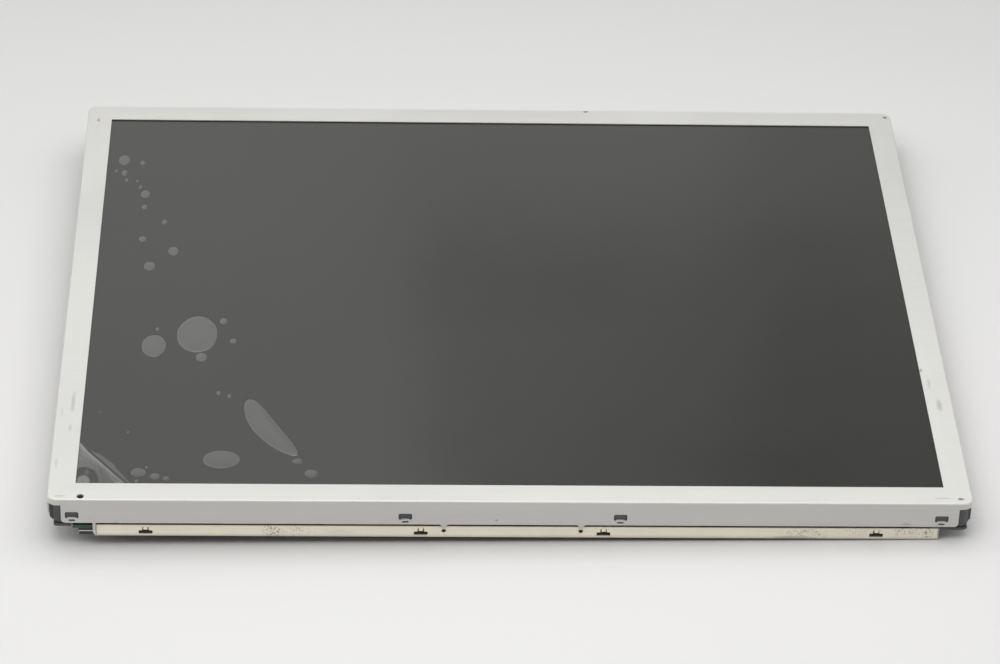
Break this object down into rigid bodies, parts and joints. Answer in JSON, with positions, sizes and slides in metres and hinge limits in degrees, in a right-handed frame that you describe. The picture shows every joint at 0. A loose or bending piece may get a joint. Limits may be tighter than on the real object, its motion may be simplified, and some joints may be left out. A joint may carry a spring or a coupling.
{
  "type": "lcd screen panel",
  "caption": "Flat screen module lying on its back: dark display under a bubbled film, pressed steel bezel with folded skirts, dark plastic frame, back light tray and a cream board cover.",
  "frame": {"origin": "middle of the outline at the lowest face, the back of the control shield", "axes": "+X along the long edge, +Y away from the edge with the cream board cover, +Z out of the screen"},
  "size_m": [0.4042, 0.3306, 0.0234],
  "materials": {
    "bezel_steel": "bright coated steel sheet with a fine grain along its edges",
    "foam": "thin black foam strip",
    "screen_film": "thin protective film with trapped bubbles over a dark matt screen",
    "polariser": "dark polarising film",
    "screen_glass": "thin flat glass",
    "guide_plastic": "dark grey moulded plastic",
    "optical_sheet": "thin frosted sheet",
    "acrylic": "clear acrylic plate",
    "white_sheet": "white reflecting sheet",
    "lamp_reflector": "bright folded sheet",
    "lamp_glass": "phosphor coated lamp tube",
    "lamp_rubber": "pale silicone rubber",
    "rear_steel": "plain zinc coated steel sheet",
    "rail_steel": "plain steel bar",
    "cover_cream": "cream coated steel sheet with dirt along its lower edge",
    "shield_steel": "zinc coated steel sheet",
    "board_green": "green circuit board laminate",
    "driver_film": "amber flexible film",
    "chip_black": "black moulded chip",
    "connector_black": "black moulded connector",
    "connector_metal": "tinned steel frame",
    "socket_plastic": "natural moulded plastic",
    "flat_cable": "white flat flexible cable",
    "insulator": "black insulating sheet",
    "screw_steel": "bright plated screw"
  },
  "bodies": {
    "root": {"board_cover": "cover_cream", "board_insulator": "insulator", "board_screws": "screw_steel", "board_sockets": "socket_plastic", "colour_filter_glass": "screen_glass", "connector_base": "connector_black", "connector_frame": "connector_metal", "control_board": "board_green", "control_chips": "chip_black", "control_shield": "shield_steel", "cover_screws": "screw_steel", "edge_connector": "connector_black", "far_lamp_reflector": "lamp_reflector", "far_left_lamp_holder": "lamp_rubber", "far_lower_lamp": "lamp_glass", "far_right_lamp_holder": "lamp_rubber", "far_upper_lamp": "lamp_glass", "front_bezel": "bezel_steel", "front_polariser": "polariser", "gate_driver_chips": "chip_black", "gate_driver_film_1": "driver_film", "gate_driver_film_2": "driver_film", "gate_driver_film_3": "driver_film", "gate_driver_film_4": "driver_film", "glass_gasket": "foam", "left_flat_cable": "flat_cable", "left_mount_rail": "rail_steel", "light_guide": "acrylic", "lower_diffuser": "optical_sheet", "near_lamp_reflector": "lamp_reflector", "near_left_lamp_holder": "lamp_rubber", "near_lower_lamp": "lamp_glass", "near_right_lamp_holder": "lamp_rubber", "near_upper_lamp": "lamp_glass", "panel_guide": "guide_plastic", "prism_sheet": "optical_sheet", "protective_film": "screen_film", "rear_cover": "rear_steel", "rear_polariser": "polariser", "reflector_sheet": "white_sheet", "right_flat_cable": "flat_cable", "right_mount_rail": "rail_steel", "shield_screws": "screw_steel", "signal_connector": "connector_black", "source_board": "board_green", "source_driver_chips": "chip_black", "source_driver_film_1": "driver_film", "source_driver_film_2": "driver_film", "source_driver_film_3": "driver_film", "source_driver_film_4": "driver_film", "source_driver_film_5": "driver_film", "source_driver_film_6": "driver_film", "source_driver_film_7": "driver_film", "source_driver_film_8": "driver_film", "tft_glass": "screen_glass", "upper_diffuser": "optical_sheet"}
  },
  "joints": []
}
